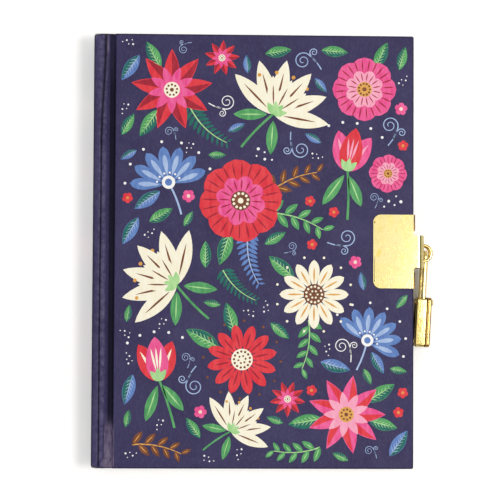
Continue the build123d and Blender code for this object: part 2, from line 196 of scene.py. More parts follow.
def mix_colour(tree, factor, first, second):
    """Mix two colours, each from another node or given as 0 to 255 display values."""
    first, second = (c if isinstance(c, bpy.types.NodeSocket) else linear(c) for c in (first, second))
    return add_node(tree, "ShaderNodeMix", {0: factor, 6: first, 7: second}, data_type="RGBA").outputs[2]


def bump(tree, shader, height, distance, strength):
    feed(tree, shader, Normal=node_out(tree, "ShaderNodeBump", {
        "Height": height, "Distance": distance, "Strength": strength}))


def film(tree, shader, painted_shade=None):
    """The film over printed paper: uneven gloss, duller where the painted shade lies, and a fine grain."""
    here = place(tree)
    gloss = span(tree, noise(tree, here, 160.0, 4.0), 0.3, 0.7, 0.52, 0.64)
    if painted_shade is not None:
        gloss = calculate(tree, "ADD", gloss, multiply(tree, painted_shade, 0.34))
    feed(tree, shader, Roughness=gloss)
    bump(tree, shader, noise(tree, here, 2600.0, 2.0), 0.00002, 0.5)


def wrap_material():
    """Dark navy printed paper under a thin film, paler where edges are rubbed and scuffed in the groove, with a
    painted sheen on the spine and beside it, a painted highlight near the head, and painted shade in creases, the
    groove and on the rims.
    """
    material, tree, shader = new_material("navy_wrap", Specular_IOR_Level=0.22)
    here = place(tree)
    colour = mix_colour(tree, span(tree, noise(tree, here, 45.0, 4.0), 0.3, 0.7), (45, 39, 77), (56, 50, 89))
    fibre = noise(tree, place(tree, (1.0, 0.35, 1.0)), 1900.0, 2.0)
    colour = mix_colour(tree, span(tree, fibre, 0.45, 0.8, 0.0, 0.16), colour, (112, 106, 142))
    # Paler where rubbed: real wear at cover corners and spine ends, plus painted sheen on the spine and on the flat
    # strip beside it
    patches = span(tree, noise(tree, here, 420.0, 5.0, 0.7), 0.42, 0.66)
    wear_and_sheen = multiply(tree, painted_factor(tree, "wear_and_sheen"), patches)
    colour = mix_colour(tree, wear_and_sheen, colour, (118, 112, 138))
    # Scuffs at the tail, plus a painted highlight along the crease near the head
    streak = span(tree, noise(tree, place(tree, (1.0, 0.3, 1.0)), 700.0, 4.0), 0.35, 0.65, 0.1, 1.0)
    scuffs_and_gleam = multiply(tree, painted_factor(tree, "scuffs_and_gleam"), streak)
    colour = mix_colour(tree, scuffs_and_gleam, colour, (124, 110, 132))
    # Painted shade: darker in the crease, down the groove and on the rounded rims, with a dark line along the tail
    # scuff's edge
    painted_shade = painted_factor(tree, "painted_shade")
    colour = mix_colour(tree, span(tree, painted_shade, 0.0, 1.0, 0.0, 0.88), colour, (10, 7, 22))
    feed(tree, shader, Base_Color=colour)
    film(tree, shader, painted_shade)
    return material


def near_line(tree, direction, offset, half):
    """A mask for a line square to a direction, at an offset and with a half width in millimetres."""
    where = add_node(tree, "ShaderNodeTexCoord").outputs["Object"]
    gap = distance_from(tree, where, direction, offset * MM)
    return span(tree, gap, half * 0.6 * MM, half * MM, 1.0, 0.0)


def brass_material(name, colour, shade, low, high, grain_turn=0.0, lines=()):
    """Pale polished brass with fine rubbing marks, soft smudges and a little tarnish, plus given marks such as
    painted shade lines in folds and bends.
    """
    material, tree, shader = new_material(name, Metallic=1.0)
    here = place(tree)
    smudge = noise(tree, here, 210.0, 4.0, 0.6)
    marks = noise(tree, place(tree, (1.0, 0.06, 0.06), math.radians(grain_turn)), 5200.0, 3.0, 0.6)
    tint = mix_colour(tree, span(tree, smudge, 0.38, 0.72), colour, shade)
    pits = span(tree, noise(tree, here, 1500.0, 2.0), 0.66, 0.74, 0.0, 0.55)
    tint = mix_colour(tree, pits, tint, (120, 88, 46))
    for mark, *bounds in lines:
        amount = 1.0
        for bound in bounds:
            amount = multiply(tree, amount, near_line(tree, *bound))
        tint = mix_colour(tree, amount, tint, mark)
    mixed = calculate(tree, "ADD", smudge, marks)
    feed(tree, shader, Base_Color=tint, Roughness=span(tree, mixed, 0.75, 1.3, low, high))
    bump(tree, shader, marks, 0.000012, 0.6)
    return material


def steel_material():
    material, tree, shader = new_material("spring_steel", Metallic=1.0)
    here = place(tree)
    feed(tree, shader, Roughness=span(tree, noise(tree, here, 2600.0), 0.3, 0.7, 0.26, 0.44),
         Base_Color=mix_colour(tree, noise(tree, here, 600.0, 4.0), (150, 150, 152), (196, 194, 190)))
    return material


def paper_material(name, light, dark, edge_lines):
    """Uncoated paper: soft fibre, faint clouding, and thin shade lines between leaves on cut edges."""
    material, tree, shader = new_material(name, Specular_IOR_Level=0.25)
    here = place(tree)
    colour = mix_colour(tree, span(tree, noise(tree, here, 90.0, 4.0), 0.3, 0.7), light, dark)
    if edge_lines:
        lines = noise(tree, place(tree, (0.012, 0.012, 1.0)), 5200.0, 2.0, 0.7)
        level = distance_from(tree, add_node(tree, "ShaderNodeTexCoord").outputs["Normal"], RISING)
        amount = multiply(tree, span(tree, lines, 0.5, 0.72, 0.0, 0.42), span(tree, level, 0.3, 0.6, 1.0, 0.0))
        colour = mix_colour(tree, amount, colour, (176, 160, 132))
    fibre = noise(tree, here, 3200.0, 3.0)
    feed(tree, shader, Base_Color=colour, Roughness=span(tree, fibre, 0.3, 0.7, 0.72, 0.9))
    bump(tree, shader, fibre, 0.00003, 0.5)
    return material


def board_material():
    material, tree, shader = new_material("grey_board", Roughness=0.9)
    fleck = span(tree, noise(tree, place(tree), 1700.0, 4.0), 0.4, 0.7)
    feed(tree, shader, Base_Color=mix_colour(tree, fleck, (150, 144, 134), (104, 99, 92)))
    return material


def cloth_material():
    """Open weave of the spine lining."""
    material, tree, shader = new_material("lining_cloth", Roughness=0.92)
    crossed = multiply(tree, waves(tree, "Y", 420.0, 0.6), waves(tree, "Z", 420.0, 0.6))
    feed(tree, shader, Base_Color=mix_colour(tree, crossed, (186, 180, 166), (232, 228, 216)))
    bump(tree, shader, crossed, 0.0001, 0.7)
    return material


def band_material():
    """Striped sewn band: cream and dark blue threads."""
    material, tree, shader = new_material("band_thread", Roughness=0.7)
    stripes = span(tree, waves(tree, "Z", 160.0), 0.42, 0.58)
    feed(tree, shader, Base_Color=mix_colour(tree, stripes, (58, 52, 90), (238, 230, 210)))
    bump(tree, shader, noise(tree, place(tree, (1, 1, 0.3)), 3000.0), 0.00004, 0.6)
    return material


NAVY_WRAP = wrap_material()
# FOLD_SHADE is a painted shade colour for lines in folds, bends and seams; SMUDGE is a smudge on the brass
FOLD_SHADE, SMUDGE = (104, 70, 30), (216, 194, 110)
# Painted shade lines along the plate's left lip and beside its corners, down the strap's bend and on the folded right
# edges, then one smudge
PLATE_BRASS = brass_material("plate_brass", (222, 208, 150), (209, 190, 118), 0.06, 0.13, lines=(
    (FOLD_SHADE, (SIDEWAYS, 55.8, 0.13), (UPWARDS, -8.0, 6.5)),
    (FOLD_SHADE, (SIDEWAYS, 55.9, 0.32), (UPWARDS, 13.4, 0.5)),
    (FOLD_SHADE, (SIDEWAYS, 55.8, 0.26), (UPWARDS, -13.5, 0.5)),
    (FOLD_SHADE, (SIDEWAYS, 76.0, 0.05), (UPWARDS, 0.0, 7.4)),
    (FOLD_SHADE, (SIDEWAYS, 74.7, 1.0), (RISING, PLATE_TOP, 0.5), (UPWARDS, 13.0, 5.5)),
    (FOLD_SHADE, (SIDEWAYS, 74.7, 1.0), (RISING, PLATE_TOP, 0.5), (UPWARDS, -13.0, 5.5)),
    (SMUDGE, ((0.912, -0.41, 0), 53.0, 0.9), ((0.41, 0.912, 0), 23.06, 2.2), (RISING, PLATE_TOP, 0.6))))
# Painted shade along the seam where the lock's two shells meet
SEAM_LINE = ((FOLD_SHADE, (LOCK_OUTWARDS, LOCK_SEAM, 0.34)),)
CASE_BRASS = brass_material("padlock_case_brass", (212, 190, 122), (186, 156, 88), 0.04, 0.1, 12, SEAM_LINE)
# The face shell's brass is a darker copy of the case's brass: painted shade for the face, which lies dimmer
SHADED_FACE_BRASS = brass_material("padlock_face_brass_shaded", (180, 150, 88), (152, 120, 62), 0.05, 0.12, 12, SEAM_LINE)
WIRE_BRASS = brass_material("wire_brass", (238, 216, 150), (218, 186, 112), 0.1, 0.2)
# The shackle's brass is a paler copy of the wire brass: painted light on a shackle that lies partly in shade
BRIGHTENED_BOW_BRASS = brass_material("bow_brass_painted_light", (252, 234, 172), (240, 212, 136), 0.24, 0.36)
STEEL = steel_material()
LEAF_PAPER = paper_material("page_paper", (246, 241, 228), (243, 238, 224), True)
PASTE_PAPER = paper_material("endpaper", (248, 244, 235), (245, 241, 231), False)
GREY_BOARD = board_material()
LINING_CLOTH = cloth_material()
BAND_THREAD = band_material()


# Mesh helpers

def add_object(name, data):
    made = bpy.data.objects.new(name, data)
    scene.collection.objects.link(made)
    return made


def shade(mesh, sharp_angle):
    mesh.shade_smooth()
    mesh.set_sharp_from_angle(angle=math.radians(sharp_angle))


def mesh_piece(name, points, faces, material, sharp_angle=30.0, factors=None):
    """A piece from points in millimetres, with outward faces, smooth shading and optional vertex factors."""
    mesh = bpy.data.meshes.new(name)
    mesh.from_pydata([Vector(p) * MM for p in points], [], faces)
    for key, values in (factors or {}).items():
        mesh.attributes.new(key, "FLOAT", "POINT").data.foreach_set("value", values)
    tidy = bmesh.new()
    tidy.from_mesh(mesh)
    bmesh.ops.recalc_face_normals(tidy, faces=tidy.faces)
    tidy.to_mesh(mesh)
    tidy.free()
    mesh.materials.append(material)
    shade(mesh, sharp_angle)
    return add_object(name, mesh)


def steps(low, high, count):
    return [low + (high - low) * i / (count - 1) for i in range(count)]


def angles(count):
    return [2 * math.pi * i / count for i in range(count)]


def shifted(faces, base):
    return [tuple(base + i for i in face) for face in faces]


def rounded_outline(flat_side, far_side, low, high, inset, corner):
    """A rectangle that keeps its flat side and has rounded corners on the far side."""
    direction = 1 if far_side > flat_side else -1
    radius = max(corner - inset, 0.4)
    edge = far_side - direction * (inset + radius)
    loop = [(flat_side, low + inset)]
    for middle, start in ((low + inset + radius, -90), (high - inset - radius, 0)):
        for step in range(7):
            angle = math.radians(start + 15 * step)
            loop.append((edge + direction * radius * math.cos(angle), middle + radius * math.sin(angle)))
    loop.append((flat_side, high - inset))
    return loop


def tube_faces(rings, around):
    """Faces that join rings of points, and close both ends."""
    faces = []
    for base in range(0, (rings - 1) * around, around):
        for i in range(around):
            j = (i + 1) % around
            faces.append((base + i, base + j, base + around + j, base + around + i))
    return faces + [tuple(range(around)), tuple(range((rings - 1) * around, rings * around))]


def soft_block(name, outline, low, high, edge, to_space, wear_and_sheen_from, painted_shade_from, rows=()):
    """A wrapped block raised on an outline, with its two rims rounded over and extra rows between them."""
    levels = [(edge + 0.6, low)]
    for step in range(6):
        angle = math.radians(18 * step)
        levels.append((edge * (1 - math.sin(angle)), low + edge * (1 - math.cos(angle))))
    levels += [(0.0, row) for row in rows] + [(inset, low + high - level) for inset, level in reversed(levels)]
    spots = [(u, v, level, inset) for inset, level in levels for u, v in outline(inset)]
    return mesh_piece(
        name, [to_space(*spot[:3]) for spot in spots], tube_faces(len(levels), len(outline(0.0))), NAVY_WRAP,
        factors={"wear_and_sheen": [wear_and_sheen_from(*spot) for spot in spots],
                 "painted_shade": [painted_shade_from(*spot) for spot in spots]})


def sheet_grid(columns, rows, top, thickness):
    """Points and faces of a closed sheet: top(x, y) gives the upper height."""
    points = [(x, y, top(x, y)) for y in rows for x in columns]
    points += [(x, y, z - thickness) for x, y, z in points]
    wide, tall = len(columns), len(rows)
    under = wide * tall
    faces = []
    for r in range(tall - 1):
        for c in range(wide - 1):
            a = r * wide + c
            faces.append((a, a + 1, a + wide + 1, a + wide))
            faces.append((a + under, a + wide + under, a + wide + 1 + under, a + 1 + under))
    rim = list(range(wide)) + [r * wide + wide - 1 for r in range(1, tall)]
    rim += [(tall - 1) * wide + c for c in range(wide - 2, -1, -1)] + [r * wide for r in range(tall - 2, 0, -1)]
    for a, b in zip(rim, rim[1:] + rim[:1]):
        faces.append((a, b, b + under, a + under))
    return points, faces


def keep_result(piece):
    """Turn a piece and its modifiers into a plain mesh."""
    bpy.context.view_layer.update()
    ready = piece.evaluated_get(bpy.context.evaluated_depsgraph_get())
    mesh = bpy.data.meshes.new_from_object(ready)
    piece.modifiers.clear()
    piece.data = mesh
    return piece


def run_tree(piece, tree, **values):
    """Run a tree on a piece, then keep its result as a plain mesh."""
    modifier = piece.modifiers.new(tree.name, "NODES")
    modifier.node_group = tree
    for item in tree.interface.items_tree:
        if item.in_out == "INPUT" and item.name in values:
            modifier[item.identifier] = values[item.name]
    return keep_result(piece)


def dress(piece, body, *nodes):
    """Show a piece in place of its solids, on the body that carries it."""
    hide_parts(*nodes)
    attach(piece, body)


def dress_bent(piece, body, node, start, end, height):
    """Show a piece in place of its solid, bent from the book to a body between two places across the joint."""
    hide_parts(node)
    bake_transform(piece, "book", body, start=Vector((start, 0, height)) * MM, end=Vector((end, 0, height)) * MM)


# Covers, spine and joints

# The share of a rounded rim that counts as turned over, and the width of the painted shade along the crease
TURNED_OVER, CREASE_WIDTH = 0.6, 0.36
# Across the joint: the end of the flat strip, and where the groove's slope, its foot with painted shade, and its wall
# begin
FLAT_END, SLOPE_FROM, FOOT_FROM, WALL_FROM = -68.6, -69.2, -66.75, -64.7


def corner_rub(x, y, level, inset):
    """Rubbing at the outer corners of a cover."""
    near_corner = rise(-math.hypot(FORE_EDGE - x, HALF_HEIGHT - abs(y)), -7, 7)
    return 0.45 * near_corner if inset < SOFT_EDGE * TURNED_OVER else 0.0


# A cover's paper: rubbed wear at the outer corners, and painted shade on the rounded rims
def cover_wrap(name, low, high):
    return soft_block(
        name,
        lambda inset: rounded_outline(BOARD_LEFT, FORE_EDGE, -HALF_HEIGHT, HALF_HEIGHT, inset, COVER_CORNER),
        low, high, SOFT_EDGE, lambda u, v, level: (u, v, level), corner_rub,
        lambda u, v, level, inset: 0.9 if inset < SOFT_EDGE * TURNED_OVER else 0.0)


# Rubbed wear at the spine's turned-in ends, and elsewhere a faint even lightening as painted sheen
def spine_wear_and_sheen(x, z, level, inset):
    return 0.45 if inset < SOFT_EDGE * TURNED_OVER and abs(level) > HALF_HEIGHT - 2 else 0.16


def spine_painted_shade(x, z, level, inset):
    """Painted shade on the spine's own face and at its turned-in ends."""
    at_end = inset < SPINE_EDGE * 0.3 and abs(level) > HALF_HEIGHT - 1
    return 0.85 if at_end else 0.6 if x < SPINE_OUTER + 0.6 else 0.0


def spine_wrap():
    return soft_block(
        "spine_paper",
        lambda inset: rounded_outline(SPINE_INNER, SPINE_OUTER, 0.0, COVER_TOP, inset, SPINE_CORNER),
        -HALF_HEIGHT, HALF_HEIGHT, SPINE_EDGE, lambda u, v, level: (u, level, v), spine_wear_and_sheen, spine_painted_shade,
        (-PAGE_HALF, PAGE_HALF))


def end_drop(x, y):
    """How far the wrap rounds over at head and tail, more at the spine than at the board."""
    radius = SPINE_EDGE + (SOFT_EDGE - SPINE_EDGE) * rise(x, SPINE_INNER, 5)
    inside = max(radius - (HALF_HEIGHT - abs(y)), 0.0)
    return radius - math.sqrt(max(radius * radius - inside * inside, 0.0))


def crease_at(y):
    """Where the crease beside the spine runs: further from the spine near the head."""
    return -70.5 + 0.25 * rise(y, -40.0, 80.0) + 1.7 * rise(y, 50.0, 45.0)


def groove(x, y):
    """Depth of the groove made by pressing: a long slope and a steep wall, flatter and puckered at head and tail."""
    shape = rise(x, SLOPE_FROM, 3.6) * (1 - rise(x, WALL_FROM, 1.2))
    to_end = rise(abs(y), 86.0, 14.0)
    pucker = 0.17 * math.sin(2.1 * y + 1.4 * x) + 0.11 * math.sin(3.7 * y - 2.2 * x)
    crease = 0.5 * bell(x, crease_at(y), 0.3)
    return GROOVE_DEPTH * shape * (1 - 0.5 * to_end) + pucker * to_end * shape + crease


def joint_shades(x, y, front):
    """Factors of a joint paper: scuffs at the tail and a painted highlight (gleam) along the crease near the head, in
    front; painted shade in the crease, down the groove and on the rims, with a dark line along the scuff's edge; and
    a painted sheen on the flat strip beside the spine.
    """
    to_tail = rise(-y, 76, 7) if front else 0.0
    gleam = rise(y, 72, 22) * bell(x, crease_at(y) + 1.1, 0.4) if front else 0.0
    scuffs_and_gleam = 0.9 * to_tail * rise(x, -68.1 - 1.2 * rise(-y, 94, 4), 0.5) + gleam
    crease = 0.95 * bell(x, crease_at(y), CREASE_WIDTH + 0.3 * rise(y, 40, 20))
    scuff_edge = 0.6 * to_tail * bell(x, -68.3, 0.22)
    rim = 0.85 * rise(abs(y), 99.2, 0.5)
    slope = 0.25 * rise(x, FLAT_END, 2.4)
    foot = (0.75 - 0.25 * rise(y, 70, 20)) * rise(x, FOOT_FROM, 0.4)
    in_groove = (slope + foot) * (1 - rise(x, -64.0, 0.5)) * (1 - 0.95 * to_tail)
    return scuffs_and_gleam, min(1.0, crease + scuff_edge + rim + in_groove), 0.42 * (1 - rise(x, FLAT_END, 1.2))


def joint_paper(name, front):
    rows = [-100.0, -99.95, -99.8, -99.6, -99.3, -99.0] + steps(-98.6, -84.0, 49) + steps(-82.0, 0.0, 22)
    rows += [-y for y in reversed(rows[:-1])]
    columns = steps(SPINE_INNER, -68.9, 26)[:-1] + steps(-68.9, BOARD_LEFT, 38)
    points, faces = sheet_grid(
        columns, rows, lambda x, y: COVER_TOP - end_drop(x, y) - groove(x, y), WRAP_SHEET)
    shades = zip(*(joint_shades(x, y, front) for x, y, z in points))
    if not front:
        points = [(x, y, COVER_TOP - z) for x, y, z in points]
    return mesh_piece(name, points, faces, NAVY_WRAP, 60.0, dict(zip(("scuffs_and_gleam", "painted_shade", "wear_and_sheen"), shades)))


dress(cover_wrap("front_cover_paper", COVER_INSIDE, COVER_TOP), "front_cover", "front_wrap")
dress(cover_wrap("back_cover_paper", 0.0, BACK_INSIDE), "book", "back_wrap")
dress(spine_wrap(), "book", "spine_wrap")
dress_bent(joint_paper("front_joint_paper", True), "front_cover", "front_joint_strip",
           SPINE_INNER, BOARD_LEFT, COVER_TOP)
dress(joint_paper("back_joint_paper", False), "book", "back_joint_strip")


# Page block

def stack_tree():
    """Geometry Nodes: one leaf stacked many times, each a little out of line."""
    tree, given = new_tree("leaf_stack", Leaves="Int", Pitch="Float", Play="Float", Paper="Material")
    line = geometry(tree, "MeshLine", Count=given["Leaves"], Offset=combine(tree, Z=given["Pitch"]))
    back = multiply(tree, given["Play"], -1.0)
    shift = node_out(tree, "FunctionNodeRandomValue", {
        "Min": combine(tree, X=back, Y=back), "Max": (0, 0, 0), "Seed": 4}, data_type="FLOAT_VECTOR")
    moved = geometry(tree, "SetPosition", Geometry=line, Offset=shift)
    stacked = geometry(tree, "InstanceOnPoints", Points=moved, Instance=given["Geometry"])
    return finish_tree(tree, stacked, given["Paper"])


def page_leaves():
    pitch = (BLOCK_HIGH - BLOCK_LOW) / LEAF_COUNT
    points, faces = sheet_grid(
        [PAGE_LEFT, PAGE_LEFT + 4, PAGE_RIGHT], [-PAGE_HALF, PAGE_HALF],
        lambda x, y: BLOCK_LOW + pitch * 0.94, pitch * 0.88)
    leaf = mesh_piece("page_leaves", points, faces, LEAF_PAPER)
    return run_tree(leaf, stack_tree(), Leaves=LEAF_COUNT, Pitch=pitch * MM, Play=0.22 * MM, Paper=LEAF_PAPER)


def end_leaf(name, columns, top, thickness):
    points, faces = sheet_grid(columns, steps(-PAGE_HALF, PAGE_HALF, 9), top, thickness)
    return mesh_piece(name, points, faces, PASTE_PAPER)


def free_leaf():
    """The free half of the endpaper, from the gutter to the fore edge."""
    columns = [PAGE_LEFT + 0.3] + steps(-68.6, -52.0, 34) + steps(-48.0, PAGE_RIGHT - 0.1, 12)
    return end_leaf("front_free_leaf", columns, lambda x, y: FREE_LEAF_TOP, 0.16)


def pasted_leaf():
    """The pasted half of the endpaper, which also lines the joint."""
    columns = steps(-69.0, -60.0, 31) + steps(-56.0, PAGE_RIGHT, 8)
    return end_leaf("front_pasted_leaf", columns, lambda x, y: PASTED_LEAF_TOP - 0.22 * rise(-x, 63.0, 3.0), 0.12)


def sewn_band(name, end):
    """A rolled band with thread ridges across the back of the page block."""
    rings, around, thread = 96, 14, 3.2
    middle_x, middle_y, half_wide, half_tall = -69.0, 97.6, 0.88, 0.58
    points = []
    for ring, z in enumerate(steps(BLOCK_LOW + 0.02, BLOCK_HIGH - 0.02, rings)):
        ridge = 1 - 0.1 * abs(math.sin(math.pi * ring / thread))
        points += [(middle_x + half_wide * ridge * math.cos(angle),
                    end * (middle_y + half_tall * ridge * math.sin(angle)), z) for angle in angles(around)]
    return mesh_piece(name, points, tube_faces(rings, around), BAND_THREAD, 60.0)


dress(page_leaves(), "book", *[f"page_section_{i}" for i in range(1, 8)])
dress_bent(free_leaf(), "flyleaf", "front_flyleaf", -69.0, -54.0, 17.3)
dress_bent(pasted_leaf(), "front_cover", "front_endpaper", -69.0, -62.5, 17.6)
for band, end in (("head_band", 1), ("tail_band", -1)):
    dress(sewn_band(band + "_roll", end), "book", band)


# Brass clasp and padlock

# Points this close in metres are joined; faces are merged below one turn in degrees and edges rounded above the other
JOIN_GAP, MERGE_TURN, ROUND_TURN = 2e-6, 0.6, 38
# A lock shell's half sizes up to its corners, and the radius of those
SHELL_SIDE, SHELL_END, SHELL_CORNER = 6.6, 10.15, 1.4


def softened(node, name, material, width, lip=None, lip_size=0.0):
    """A copy of a rigid solid with its triangles joined, its edges slightly rounded and its lip more so."""
    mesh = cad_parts[node].data.copy()
    mesh.name = name
    mesh.materials.clear()
    mesh.materials.append(material)
    work = bmesh.new()
    work.from_mesh(mesh)
    bmesh.ops.remove_doubles(work, verts=work.verts, dist=JOIN_GAP)
    bmesh.ops.dissolve_limit(
        work, angle_limit=math.radians(MERGE_TURN), verts=work.verts, edges=work.edges)
    if lip:
        chosen = [e for e in work.edges if lip(e) and e.is_manifold and e.calc_face_angle(0) > 0.8]
        bmesh.ops.bevel(work, geom=chosen, offset=lip_size * MM, segments=3, affect="EDGES", profile=0.5)
    if width:
        chosen = [e for e in work.edges if e.is_manifold and e.calc_face_angle(0) > math.radians(ROUND_TURN)]
        bmesh.ops.bevel(work, geom=chosen, offset=width * MM, segments=2, affect="EDGES",
                        profile=0.5, clamp_overlap=True)
    bmesh.ops.recalc_face_normals(work, faces=work.faces)
    work.to_mesh(mesh)
    work.free()
    for layer in [a for a in mesh.attributes if a.name == "custom_normal"]:
        mesh.attributes.remove(layer)
    shade(mesh, 50.0)
    piece = add_object(name, mesh)
    even = piece.modifiers.new("even_faces", "WEIGHTED_NORMAL")
    even.keep_sharp = True
    even.weight = 100
    return keep_result(piece)


def left_top_edge(edge):
    """The upper long edge on the plate's left side."""
    a, b = (v.co / MM for v in edge.verts)
    return max(a.x, b.x) < 55.3 and min(a.z, b.z) > PLATE_TOP and abs(a.y - b.y) > 20


def seam_edge(edge):
    """The outer rim of a lock shell, where it meets the other."""
    outwards = Vector(LOCK_OUTWARDS)
    along = Vector((outwards.y, -outwards.x, 0))
    for vert in edge.verts:
        spot = vert.co / MM
        side = abs(spot.z - LOCK_LEVEL) - SHELL_SIDE
        end = abs(along.dot(spot) - LOCK_MIDDLE) - SHELL_END
        rim = math.hypot(max(side, 0.0), max(end, 0.0)) - SHELL_CORNER
        if abs(outwards.dot(spot) - LOCK_SEAM) > 0.06 or rim < -0.2:
            return False
    return True


for node, name, body, *looks in (
        ("front_clasp_plate", "front_clasp", "front_cover", PLATE_BRASS, 0.12, left_top_edge, 0.5),
        ("back_clasp_plate", "back_clasp", "book", PLATE_BRASS, 0.12),
        ("front_ring", "front_wire_ring", "front_cover", WIRE_BRASS, 0.0),
        ("back_ring", "back_wire_ring", "book", WIRE_BRASS, 0.0),
        ("shackle", "padlock_bow", "shackle_body", BRIGHTENED_BOW_BRASS, 0.0),
        ("lock_case", "padlock_case", "lock_body", CASE_BRASS, 0.1, seam_edge, 0.3),
        ("lock_face", "padlock_face", "lock_body", SHADED_FACE_BRASS, 0.1, seam_edge, 0.3),
        ("pivot_rivet", "padlock_pivot", "lock_body", WIRE_BRASS, 0.08),
        ("case_rivets", "padlock_rivets", "lock_body", WIRE_BRASS, 0.06),
):
    dress(softened(node, name, *looks), body, node)

for material, *nodes in (
        (GREY_BOARD, "front_board", "back_board", "spine_board"),
        (PASTE_PAPER, "back_endpaper", "back_flyleaf"),
        (LINING_CLOTH, "spine_lining"),
        (STEEL, "key_post", "latch", "latch_spring"),
):
    for node in nodes:
        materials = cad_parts[node].data.materials
        materials.clear()
        materials.append(material)


# Printed design: generic garden motifs, each a stamp of thin flat shapes that is laid down many times

def ink_material(name, first, second):
    """Printed colour with a soft brushed tone, under the same film as the ground."""
    material, tree, shader = new_material(name + "_ink", Specular_IOR_Level=0.25)
    brushed = noise(tree, place(tree, (1.0, 0.3, 1.0), 0.6), 520.0, 4.0, 0.65)
    feed(tree, shader, Base_Color=mix_colour(tree, span(tree, brushed, 0.36, 0.66), first, second))
    film(tree, shader)
    return material


INKS = {name: ink_material(name, first, second) for name, first, second in (
    ("red", (214, 40, 56), (228, 66, 72)),
    ("deep_red", (150, 22, 44), (172, 34, 54)),
    ("pink", (226, 66, 132), (238, 104, 158)),
    ("pale_pink", (240, 150, 180), (246, 176, 196)),
    ("cream", (244, 236, 208), (250, 244, 224)),
    ("brown", (106, 58, 34), (132, 78, 46)),
    ("ochre", (214, 150, 66), (228, 172, 90)),
    ("green", (64, 142, 84), (98, 172, 104)),
    ("pale_green", (150, 204, 130), (182, 222, 156)),
    ("deep_green", (20, 92, 84), (30, 112, 98)),
    ("blue", (84, 116, 178), (104, 138, 196)),
    ("pale_blue", (150, 174, 214), (176, 196, 226)),
    ("white", (240, 238, 236), (248, 247, 244)),
)}


def petal(length, width, skew=1.0, fat=0.8, start=0.0, count=12):
    """A petal along the x axis; skew moves its widest place outwards and a small fat value blunts it."""
    upper = [(start + length * t, width / 2 * abs(math.sin(math.pi * t ** skew)) ** fat)
             for t in steps(0, 1, count + 1)]
    return upper + [(x, -y) for x, y in reversed(upper[1:-1])]


def half_petal(*sizes, **more):
    """The lower half of a petal, for its shaded side."""
    whole = petal(*sizes, **more)
    lower = [p for p in whole if p[1] <= 0]
    return [(min(x for x, y in whole), 0.0)] + sorted(lower)[1:-1] + [(max(x for x, y in whole), 0.0)]


def disc(radius, x=0.0, y=0.0, count=18):
    return [(x + radius * math.cos(angle), y + radius * math.sin(angle)) for angle in angles(count)]


def dot(radius):
    return disc(radius, count=10)


def bent(start, middle, end):
    """A line that bends from start to end, drawn towards the middle."""
    line = []
    for t in steps(0, 1, 14):
        weights = ((1 - t) ** 2, 2 * t * (1 - t), t * t)
        line.append(tuple(sum(w * p[k] for w, p in zip(weights, (start, middle, end))) for k in (0, 1)))
    return line


def curl(lead, radius, turns):
    """A stalk that runs along x and rolls up."""
    line = [(lead * i / 6, -0.5 * math.sin(math.pi * i / 6)) for i in range(6)]
    for t in steps(0, 1, 44):
        angle = math.radians(-90 + 360 * turns * t)
        reach = radius * (1 - 0.82 * t)
        line.append((lead + reach * math.cos(angle), radius + reach * math.sin(angle)))
    return line


def ribbon(line, first, last):
    """A line given a width that changes from first to last."""
    left, right = [], []
    for i, (x, y) in enumerate(line):
        ax, ay = line[max(i - 1, 0)]
        bx, by = line[min(i + 1, len(line) - 1)]
        run = math.hypot(bx - ax, by - ay)
        half = (first + (last - first) * i / (len(line) - 1)) / 2
        left.append((x - (by - ay) / run * half, y + (bx - ax) / run * half))
        right.append((x + (by - ay) / run * half, y - (bx - ax) / run * half))
    return left + right[::-1]


LAYER, SUNK, FIRST_LAYER = 0.012, -0.005, 0.006


def prism(loop, layer):
    """A thin printed shape, sunk a little in the paper; a higher layer lies over a lower one."""
    count = len(loop)
    points = [(x, y, SUNK) for x, y in loop] + [(x, y, FIRST_LAYER + LAYER * layer) for x, y in loop]
    faces = [tuple(range(count)), tuple(range(count, 2 * count))]
    faces += [(i, (i + 1) % count, (i + 1) % count + count, i + count) for i in range(count)]
    return points, faces


def set_shapes(tree, given, points, angle, size=1.0):
    """Put the given shape on points, each a trace higher than the last, join it and paint it."""
    share = calculate(tree, "DIVIDE", geometry(tree, "InputIndex"), given["Count"])
    lift = combine(tree, Z=multiply(tree, share, 0.9 * LAYER * MM))
    points = geometry(tree, "SetPosition", Geometry=points, Offset=lift)
    turned = node_out(tree, "FunctionNodeEulerToRotation", {0: combine(tree, Z=angle)})
    placed = geometry(tree, "InstanceOnPoints", Points=points, Instance=given["Geometry"], Rotation=turned,
                      Scale=combine(tree, X=size, Y=size, Z=1.0))
    return finish_tree(tree, placed, given["Ink"])


def ring_tree():
    """Geometry Nodes: one shape set round a circle or part of it, pointing outwards."""
    tree, given = new_tree(
        "shapes_in_ring", Count="Int", Radius="Float", Start="Float", Step="Float", Ink="Material")
    line = geometry(tree, "MeshLine", Count=given["Count"], Offset=(0, 0, 0))
    angle = calculate(
        tree, "ADD", multiply(tree, geometry(tree, "InputIndex"), given["Step"]), given["Start"])
    spot = combine(tree, X=multiply(tree, calculate(tree, "COSINE", angle), given["Radius"]),
                   Y=multiply(tree, calculate(tree, "SINE", angle), given["Radius"]))
    return set_shapes(tree, given, geometry(tree, "SetPosition", Geometry=line, Position=spot), angle)


